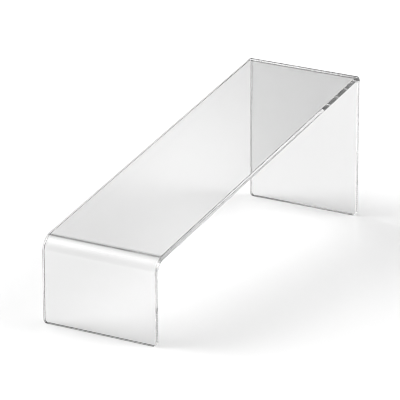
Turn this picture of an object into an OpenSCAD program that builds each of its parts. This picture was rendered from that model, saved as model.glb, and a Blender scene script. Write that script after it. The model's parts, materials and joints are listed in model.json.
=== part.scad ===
// Book display stand: one strip of clear sheet, bent across its width at two lines.
// The strip stands on its two ends. Its short front leg and tall rear leg carry a sloping deck.
// +X is to the right, +Y runs from the front leg to the rear leg, and +Z is up.
// The origin is on the surface that the stand rests on, at the middle of its width and depth.

/* [Overall] */
// Width of the strip, in mm
width = 90; // [60:1:200]
// Depth over the outer faces of the two legs
depth = 300; // [220:5:360]
// Height of the top of the rear bend
height = 110; // [100:1:160]
// Slope of the deck above the horizontal, in degrees
deck_slope = 9.2; // [3:0.1:10]

/* [Sheet] */
// Thickness of the sheet
sheet_t = 4; // [3:0.5:6]
// Radius on the inside of the front bend
front_bend_r = 8; // [1:0.5:10]
// Radius on the inside of the rear bend
rear_bend_r = 1.5; // [1:0.5:8]
// Radius of the four corners of the strip, at the feet
foot_corner_r = 2.5; // [0.5:0.5:4]

/* [Hidden] */
$fn = 96;

// How far a cutting shape runs past the face that it cuts
reach = 1;

// Heights at which the deck's top plane meets the outer face of each leg, as if the bends were sharp
rear_outer_r = rear_bend_r + sheet_t;
rear_corner_h = height + rear_outer_r * (tan(deck_slope) + 1 / cos(deck_slope) - 1);
front_corner_h = rear_corner_h - depth * tan(deck_slope);

// Height at y of the plane that lies inset below the deck's top face
function deck_z(y, inset) = front_corner_h + (y + depth / 2) * tan(deck_slope) - inset / cos(deck_slope);

// What a bend leaves off a sharp corner, in the YZ plane. side is -1 at the front and 1 at the rear.
module bend_waste(side, inset, r) {
    leg_y = side * (depth / 2 - inset);
    past_y = leg_y + side * reach;
    centre_y = leg_y - side * r;
    centre = [centre_y, deck_z(centre_y, inset + r)];
    difference() {
        polygon([
            centre,
            centre + (r + reach) * [side, 0],
            [past_y, deck_z(past_y, inset - reach)],
            centre + (r + reach) * [-sin(deck_slope), cos(deck_slope)],
        ]);
        translate(centre) circle(r);
    }
}

// Everything under the surface that lies inset inside the sheet's outer faces, down to floor_z
module under_surface(inset, floor_z) {
    leg_y = depth / 2 - inset;
    difference() {
        polygon([
            [-leg_y, floor_z],
            [-leg_y, deck_z(-leg_y, inset)],
            [leg_y, deck_z(leg_y, inset)],
            [leg_y, floor_z],
        ]);
        bend_waste(-1, inset, front_bend_r + sheet_t - inset);
        bend_waste(1, inset, rear_bend_r + sheet_t - inset);
    }
}

// The bent strip seen from its side, in the YZ plane
module side_profile() {
    difference() {
        under_surface(0, 0);
        under_surface(sheet_t, -reach);
    }
}

// The strip seen from the front, in the XZ plane, with its corners rounded at the feet
module front_outline() {
    flat_half_w = width / 2 - foot_corner_r;
    translate([-width / 2, foot_corner_r]) square([width, height]);
    translate([-flat_half_w, 0]) square([2 * flat_half_w, height]);
    for (side = [-1, 1])
        translate([side * flat_half_w, foot_corner_r]) circle(foot_corner_r);
}

// The whole stand is this one bent sheet
module bent_sheet() {
    color([0.92, 0.95, 0.95, 0.4])
        intersection() {
            rotate([90, 0, 90])
                linear_extrude(width, center = true)
                    side_profile();
            rotate([90, 0, 0])
                linear_extrude(depth + 2 * reach, center = true)
                    front_outline();
        }
}

bent_sheet();
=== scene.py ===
"""The book display stand: one bent sheet of clear acrylic on a white studio floor.

The sheet is built as the real one is made. A flat blank with rounded corners and eased edges is
laid out first, and each of its points is then carried round the two bends.
"""

import json
import math

import bpy
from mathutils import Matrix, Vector

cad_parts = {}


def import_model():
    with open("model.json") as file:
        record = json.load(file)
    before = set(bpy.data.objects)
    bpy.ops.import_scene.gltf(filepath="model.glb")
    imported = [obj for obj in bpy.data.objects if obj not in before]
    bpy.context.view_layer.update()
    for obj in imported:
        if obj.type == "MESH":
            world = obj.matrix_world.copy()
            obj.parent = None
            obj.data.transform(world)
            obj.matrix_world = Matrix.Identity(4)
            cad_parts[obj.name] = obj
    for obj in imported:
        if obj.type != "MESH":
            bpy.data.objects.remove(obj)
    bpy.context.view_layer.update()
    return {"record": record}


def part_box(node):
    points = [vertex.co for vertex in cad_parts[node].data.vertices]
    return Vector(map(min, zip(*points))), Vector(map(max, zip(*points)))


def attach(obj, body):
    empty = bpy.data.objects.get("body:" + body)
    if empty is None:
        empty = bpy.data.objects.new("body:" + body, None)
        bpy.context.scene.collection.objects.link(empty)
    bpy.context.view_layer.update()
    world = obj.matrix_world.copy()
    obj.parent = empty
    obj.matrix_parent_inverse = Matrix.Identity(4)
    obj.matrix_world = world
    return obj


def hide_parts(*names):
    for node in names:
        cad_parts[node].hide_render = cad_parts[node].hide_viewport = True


# ---- The sheet, in metres
FRONT_BEND_R = 0.008  # inside the front bend
REAR_BEND_R = 0.0015  # inside the rear bend
FOOT_CORNER_R = 0.0025  # the blank's four corners
ARRIS_R = 0.0004  # the eased edge all round the blank
BEND_STEPS = 40
CORNER_STEPS = 10
ARRIS_STEPS = 5

# ---- The acrylic
ACRYLIC_IOR = 1.53  # a little over acrylic's 1.49, for the way the real sheet's edges look
FACE_TINT = 0.85
# Painted shade on the eased edge: these tints darken the sheet's outlines, nearly black on the left and
# grey on the right
LEFT_ARRIS_PAINTED_SHADE = 0.02
RIGHT_ARRIS_PAINTED_SHADE = 0.25
SMUDGE_ROUGHNESS = 0.06  # at its strongest, and the same for the two below
WIPE_ROUGHNESS = 0.05
TICK_ROUGHNESS = 0.15
WAVE_DEPTH = 0.000004  # how deep the faces' waves and the arrises' ticks are, in metres
TICK_DEPTH = 0.00005
# The order of the sheet's materials. The eased edge carries painted shade: darkest on the left, grey
# along the deck's right side and at the feet, and as clear as the faces up the legs' right sides.
FACES, LEFT_ARRIS, RIGHT_ARRIS = range(3)
MOST_BOUNCES = 600  # light that is guided along the whole sheet needs hundreds

# ---- The floor
FLOOR_HALF_SIZE = 8.0  # in metres
FLOOR_WHITE = 0.9
FLOOR_ROUGHNESS = 0.2
# Painted shade: the floor is painted black, for the deck's right edge, to light the sheet has guided and
# lets out steeply behind BEHIND_Y
GUIDED_REFLECTIONS = 2.5  # light with more reflections than this has been guided by the sheet
LEVEL_FACING, STEEP_FACING = 0.66, 0.60  # Layer Weight's Facing where darkening starts and is full
BEHIND_Y = -0.06  # the floor is dark to guided light behind this line

# ---- The studio's light: azimuth and elevation in degrees, how tight the glow is, and its brightness
GLOWS = {
    "left softbox": (195, 38, 12.0, 7.33),
    "right softbox": (22, 35, 12.0, 4.79),
    "low light behind on the left": (162, 5, 12.0, 5.17),
    "low light in front": (282, 8, 12.0, 4.51),
    "card that the deck mirrors": (125, 35.3, 2600.0, 0.75),
}
DIM_ROOM = 0.02  # the light everywhere else

# ---- The camera: its direction from the object in degrees, and its distance in metres
VIEW_AZIMUTH = 29.66
VIEW_ELEVATION = 20.1
VIEW_DISTANCE = 2.53
VIEW_AIM = Vector((0.0, 0.0, 0.06))
AIM_RIGHT = -0.0049  # how far the picture's middle lies from the aim, to the right and up
AIM_UP = -0.0085
LENS_MM = 318.5
SENSOR_MM = 36.0
CLIP_END = 50.0  # well past the floor's far corner, in metres


def mount(record, name):
    """The point and the direction of one of the record's mounts."""
    found = next(m for m in record["mounts"] if m["name"] == name)
    return Vector(found["pos_m"]), Vector(found["axis"])


# ---------------------------------------------------------------- the sheet's shape
def middle_line(low, high, thickness, deck_point, deck_axis):
    """The stretches of the sheet's middle line from the front foot to the rear one, as (length, turn).

    turn is how far a stretch turns towards the rear and down, in radians, and 0 where it is straight.
    """
    slope = math.atan2(-deck_axis.y, deck_axis.z)

    def centre(leg_y, side, inner_r):
        """Where a bend's centre lies: outer_r in from the leg's outer face and under the deck's top."""
        outer_r = inner_r + thickness
        y = leg_y - side * outer_r
        z = deck_point.z + (y - deck_point.y) * math.tan(slope) - outer_r / math.cos(slope)
        return y, z

    front_y, front_z = centre(low.y, -1, FRONT_BEND_R)
    rear_y, rear_z = centre(high.y, 1, REAR_BEND_R)
    front_turn = math.pi / 2 - slope
    rear_turn = math.pi / 2 + slope
    deck = (rear_y - front_y) * math.cos(slope) + (rear_z - front_z) * math.sin(slope)
    return [
        (front_z - low.z, 0.0),
        ((FRONT_BEND_R + thickness / 2) * front_turn, front_turn),
        (deck, 0.0),
        ((REAR_BEND_R + thickness / 2) * rear_turn, rear_turn),
        (rear_z - low.z, 0.0),
    ]


def along(line, start, distance):
    """The point (y, z) on the middle line at a distance from its start, and the heading there."""
    y, z = start
    heading = math.pi / 2
    for length, turn in line:
        step = min(distance, length)
        if turn:
            radius = length / turn
            y += radius * math.sin(heading)
            z -= radius * math.cos(heading)
            heading -= step / radius
            y -= radius * math.sin(heading)
            z += radius * math.cos(heading)
        else:
            y += step * math.cos(heading)
            z += step * math.sin(heading)
        distance -= step
        if distance <= 0:
            break
    return y, z, heading


def stations(line):
    """Distances along the middle line where the mesh has an edge: both ends and steps round each bend."""
    marks = []
    at = 0.0
    for length, turn in line:
        if turn:
            marks += [at + length * i / BEND_STEPS for i in range(BEND_STEPS + 1)]
        at += length
    return marks


def blank_side(line, width):
    """One long side of the blank, from foot to foot, as (x, distance, out_x, out_distance) for x > 0."""
    total = sum(length for length, _ in line)
    flat_x = width / 2 - FOOT_CORNER_R
    points = []
    for end, sign in ((FOOT_CORNER_R, -1), (total - FOOT_CORNER_R, 1)):
        arc = []
        for i in range(CORNER_STEPS + 1):
            a = math.pi / 2 * i / CORNER_STEPS
            out_x, out_d = math.sin(a), sign * math.cos(a)
            arc.append((flat_x + FOOT_CORNER_R * out_x, end + FOOT_CORNER_R * out_d, out_x, out_d))
        if sign < 0:
            points += arc
            points += [(width / 2, d, 1.0, 0.0) for d in stations(line)]
        else:
            points += arc[::-1]
    return points


def edge_levels(thickness):
    """The blank's edge from the outer face to the inner one, as (inset, height, out_share, up_share)."""
    levels = []
    for side in (1, -1):
        turns = range(ARRIS_STEPS + 1)
        for i in turns if side < 0 else reversed(turns):
            a = math.pi / 2 * i / ARRIS_STEPS
            inset = ARRIS_R * (1 - math.cos(a))
            height = side * (thickness / 2 - ARRIS_R * (1 - math.sin(a)))
            levels.append((inset, height, math.cos(a), side * math.sin(a)))
    return levels


def arris_material(a, b, marks):
    """The material of the eased edge between two of the outline's points, and so where its painted shade
    goes: darkest on the left, grey on the right, none up the legs' right sides. marks are the stations.
    """
    across = a[2] + b[2]
    on_leg = not marks[0] < (a[1] + b[1]) / 2 < marks[-1]
    if across < -1.0:
        return LEFT_ARRIS
    if across > 1.0 and on_leg:
        return FACES
    return RIGHT_ARRIS


def bent_sheet(name, line, start, width, thickness):
    """The bent sheet as one closed mesh with its true surface directions."""
    side = blank_side(line, width)
    ring = [(-x, d, -out_x, out_d) for x, d, out_x, out_d in side] + side[::-1]
    levels = edge_levels(thickness)
    points, normals = [], []
    for inset, height, out_share, up_share in levels:
        for x, d, out_x, out_d in ring:
            y, z, heading = along(line, start, d - inset * out_d)
            ahead = Vector((0.0, math.cos(heading), math.sin(heading)))
            up = Vector((0.0, -math.sin(heading), math.cos(heading)))
            points.append(Vector((x - inset * out_x, y, z)) + up * height)
            out = Vector((out_x, 0.0, 0.0)) + ahead * out_d
            normals.append((out * out_share + up * up_share).normalized())
    count, half = len(ring), len(side)
    faces, material_of = [], []
    marks = stations(line)
    for k in range(len(levels) - 1):
        for i in range(count):
            j = (i + 1) % count
            faces.append((k * count + i, k * count + j, (k + 1) * count + j, (k + 1) * count + i))
            on_arris = k != ARRIS_STEPS
            material_of.append(arris_material(ring[i], ring[j], marks) if on_arris else FACES)
    last = (len(levels) - 1) * count
    for i in range(half - 1):
        left, right = (i, i + 1), (count - 2 - i, count - 1 - i)
        faces.append((right[1], right[0], left[1], left[0]))
        faces.append((last + left[0], last + left[1], last + right[0], last + right[1]))
        material_of += [FACES, FACES]
    mesh = bpy.data.meshes.new(name)
    mesh.from_pydata(points, [], faces)
    mesh.validate()
    mesh.polygons.foreach_set("use_smooth", [True] * len(mesh.polygons))
    mesh.polygons.foreach_set("material_index", material_of)
    mesh.normals_split_custom_set_from_vertices(normals)
    piece = bpy.data.objects.new(name, mesh)
    bpy.context.scene.collection.objects.link(piece)
    return piece


# ---------------------------------------------------------------- materials
def calculation(nodes, links, operation, *values):
    """One Math node. Each value is a number or another node's output."""
    node = nodes.new("ShaderNodeMath")
    node.operation = operation
    for socket, value in zip(node.inputs, values):
        if isinstance(value, (int, float)):
            socket.default_value = value
        else:
            links.new(value, socket)
    return node.outputs["Value"]


def noise(nodes, links, scale, detail, stretch=(1.0, 1.0, 1.0)):
    """A noise pattern in the object's own metres, stretched along the axes given less than 1."""
    place = nodes.new("ShaderNodeTexCoord")
    size = nodes.new("ShaderNodeMapping")
    size.inputs["Scale"].default_value = stretch
    pattern = nodes.new("ShaderNodeTexNoise")
    pattern.inputs["Scale"].default_value = scale
    pattern.inputs["Detail"].default_value = detail
    links.new(place.outputs["Object"], size.inputs["Vector"])
    links.new(size.outputs["Vector"], pattern.inputs["Vector"])
    return pattern.outputs["Fac"]


def rescaled(nodes, links, value, low, high, to_high):
    """The value carried from the range low..high to 0..to_high and held inside it."""
    node = nodes.new("ShaderNodeMapRange")
    node.inputs["From Min"].default_value = low
    node.inputs["From Max"].default_value = high
    node.inputs["To Min"].default_value = 0.0
    node.inputs["To Max"].default_value = to_high
    links.new(value, node.inputs["Value"])
    return node.outputs["Result"]


def relief(nodes, links, height, depth):
    """A bump of the given depth in metres on the material's shader."""
    bump = nodes.new("ShaderNodeBump")
    bump.inputs["Strength"].default_value = 1.0
    bump.inputs["Distance"].default_value = depth
    links.new(height, bump.inputs["Height"])
    links.new(bump.outputs["Normal"], nodes["Principled BSDF"].inputs["Normal"])


def acrylic(name, tint):
    """Clear acrylic with nothing on its surface yet."""
    mat = bpy.data.materials.new(name)
    mat.use_nodes = True
    shader = mat.node_tree.nodes["Principled BSDF"]
    shader.inputs["Base Color"].default_value = (tint, tint, tint, 1.0)
    shader.inputs["Transmission Weight"].default_value = 1.0
    shader.inputs["IOR"].default_value = ACRYLIC_IOR
    return mat


def clear_acrylic():
    """The polished faces: very slightly wavy, with faint smudges left by hands and cloths."""
    mat = acrylic("clear_acrylic", FACE_TINT)
    nodes, links = mat.node_tree.nodes, mat.node_tree.links
    hands = noise(nodes, links, scale=60.0, detail=3.0, stretch=(1.0, 1.0, 0.5))
    smudges = rescaled(nodes, links, hands, low=0.58, high=0.75, to_high=SMUDGE_ROUGHNESS)
    cloth = noise(nodes, links, scale=900.0, detail=2.0, stretch=(0.05, 1.0, 1.0))
    wipes = rescaled(nodes, links, cloth, low=0.62, high=0.80, to_high=WIPE_ROUGHNESS)
    rough = calculation(nodes, links, "ADD", smudges, wipes)
    links.new(rough, nodes["Principled BSDF"].inputs["Roughness"])
    waves = noise(nodes, links, scale=18.0, detail=1.0)
    relief(nodes, links, waves, WAVE_DEPTH)
    return mat


def scraped_arris_painted_dark(name, tint):
    """The eased corners of the cut edge, ticked by the saw and the scraper, with a dark tint that is
    painted shade for the sheet's outlines.
    """
    mat = acrylic(name, tint)
    nodes, links = mat.node_tree.nodes, mat.node_tree.links
    ticks = noise(nodes, links, scale=500.0, detail=2.0)
    rough = rescaled(nodes, links, ticks, low=0.35, high=0.65, to_high=TICK_ROUGHNESS)
    links.new(rough, nodes["Principled BSDF"].inputs["Roughness"])
    relief(nodes, links, ticks, TICK_DEPTH)
    return mat


def studio_white():
    """The floor, pale to the eye.

    Behind the front leg it is painted black for one kind of light alone: what the sheet has reflected
    inside itself several times and lets out steeply downwards. That painted shade is what makes the rear
    of the deck's right edge dark.
    """
    mat = bpy.data.materials.new("studio_white")
    mat.use_nodes = True
    nodes, links = mat.node_tree.nodes, mat.node_tree.links
    shader = nodes["Principled BSDF"]
    shader.inputs["Roughness"].default_value = FLOOR_ROUGHNESS
    path = nodes.new("ShaderNodeLightPath")
    guided = calculation(nodes, links, "GREATER_THAN", path.outputs["Glossy Depth"], GUIDED_REFLECTIONS)
    tilt = nodes.new("ShaderNodeLayerWeight")
    steep = rescaled(nodes, links, tilt.outputs["Facing"], LEVEL_FACING, STEEP_FACING, to_high=1.0)
    place = nodes.new("ShaderNodeTexCoord")
    axes = nodes.new("ShaderNodeSeparateXYZ")
    links.new(place.outputs["Object"], axes.inputs["Vector"])
    behind = calculation(nodes, links, "GREATER_THAN", axes.outputs["Y"], BEHIND_Y)
    dark = calculation(nodes, links, "MULTIPLY", guided, steep)
    dark = calculation(nodes, links, "MULTIPLY", dark, behind)
    shade = nodes.new("ShaderNodeMix")
    shade.data_type = "RGBA"
    shade.inputs["A"].default_value = (FLOOR_WHITE, FLOOR_WHITE, FLOOR_WHITE, 1.0)
    shade.inputs["B"].default_value = (0.0, 0.0, 0.0, 1.0)
    links.new(dark, shade.inputs["Factor"])
    links.new(shade.outputs["Result"], shader.inputs["Base Color"])
    return mat


# ---------------------------------------------------------------- stage, light and camera
def floor():
    """The white floor that the stand rests on."""
    mesh = bpy.data.meshes.new("studio_floor")
    r = FLOOR_HALF_SIZE
    mesh.from_pydata([(-r, -r, 0), (r, -r, 0), (r, r, 0), (-r, r, 0)], [], [(0, 1, 2, 3)])
    mesh.materials.append(studio_white())
    obj = bpy.data.objects.new("studio_floor", mesh)
    bpy.context.scene.collection.objects.link(obj)


def world():
    """A studio of soft glows: each is brightest in its own direction and fades away all round it."""
    room = bpy.data.worlds.new("studio_world")
    bpy.context.scene.world = room
    room.use_nodes = True
    nodes, links = room.node_tree.nodes, room.node_tree.links
    ray = nodes.new("ShaderNodeTexCoord")
    total = None
    for name, (azimuth, elevation, tightness, strength) in GLOWS.items():
        azimuth, elevation = math.radians(azimuth), math.radians(elevation)
        nearness = nodes.new("ShaderNodeVectorMath")
        nearness.label = name
        nearness.operation = "DOT_PRODUCT"
        nearness.inputs[1].default_value = (
            math.cos(azimuth) * math.cos(elevation),
            math.sin(azimuth) * math.cos(elevation),
            math.sin(elevation),
        )
        links.new(ray.outputs["Generated"], nearness.inputs[0])
        fade = calculation(nodes, links, "MULTIPLY_ADD", nearness.outputs["Value"], tightness, -tightness)
        glow = calculation(nodes, links, "EXPONENT", fade)
        so_far = DIM_ROOM if total is None else total
        total = calculation(nodes, links, "MULTIPLY_ADD", glow, strength, so_far)
    links.new(total, nodes["Background"].inputs["Strength"])
    nodes["Background"].inputs["Color"].default_value = (1.0, 1.0, 1.0, 1.0)


def camera():
    """A long lens that looks down at the stand from its front right."""
    azimuth, elevation = math.radians(VIEW_AZIMUTH), math.radians(VIEW_ELEVATION)
    back = Vector((
        math.sin(azimuth) * math.cos(elevation),
        -math.cos(azimuth) * math.cos(elevation),
        math.sin(elevation),
    ))
    right = Vector((math.cos(azimuth), math.sin(azimuth), 0.0))
    up = back.cross(right)
    data = bpy.data.cameras.new("camera")
    data.lens = LENS_MM
    data.sensor_width = SENSOR_MM
    data.clip_end = CLIP_END
    obj = bpy.data.objects.new("camera", data)
    bpy.context.scene.collection.objects.link(obj)
    obj.location = VIEW_AIM + back * VIEW_DISTANCE + right * AIM_RIGHT + up * AIM_UP
    obj.rotation_mode = "QUATERNION"
    obj.rotation_quaternion = back.to_track_quat("Z", "Y")
    bpy.context.scene.camera = obj


# ---------------------------------------------------------------- the scene
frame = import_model()
low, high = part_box("bent_sheet")
rear_foot, _ = mount(frame["record"], "rear_foot")
deck_point, deck_axis = mount(frame["record"], "deck")
sheet_t = 2 * (high.y - rear_foot.y)

camera()
line = middle_line(low, high, sheet_t, deck_point, deck_axis)
sheet = bent_sheet("bent_acrylic_sheet", line, (low.y + sheet_t / 2, low.z), high.x - low.x, sheet_t)
sheet.data.materials.append(clear_acrylic())
# The eased edge's two materials carry painted shade: nearly black on the left, grey on the right
sheet.data.materials.append(scraped_arris_painted_dark("left_arris_painted_shade", LEFT_ARRIS_PAINTED_SHADE))
sheet.data.materials.append(scraped_arris_painted_dark("right_arris_painted_shade", RIGHT_ARRIS_PAINTED_SHADE))
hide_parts("bent_sheet")
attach(sheet, "root")

floor()
world()

scene = bpy.context.scene
scene.view_settings.view_transform = "Standard"
scene.cycles.filter_width = 0.9
scene.cycles.max_bounces = MOST_BOUNCES
scene.cycles.glossy_bounces = MOST_BOUNCES
scene.cycles.transmission_bounces = MOST_BOUNCES
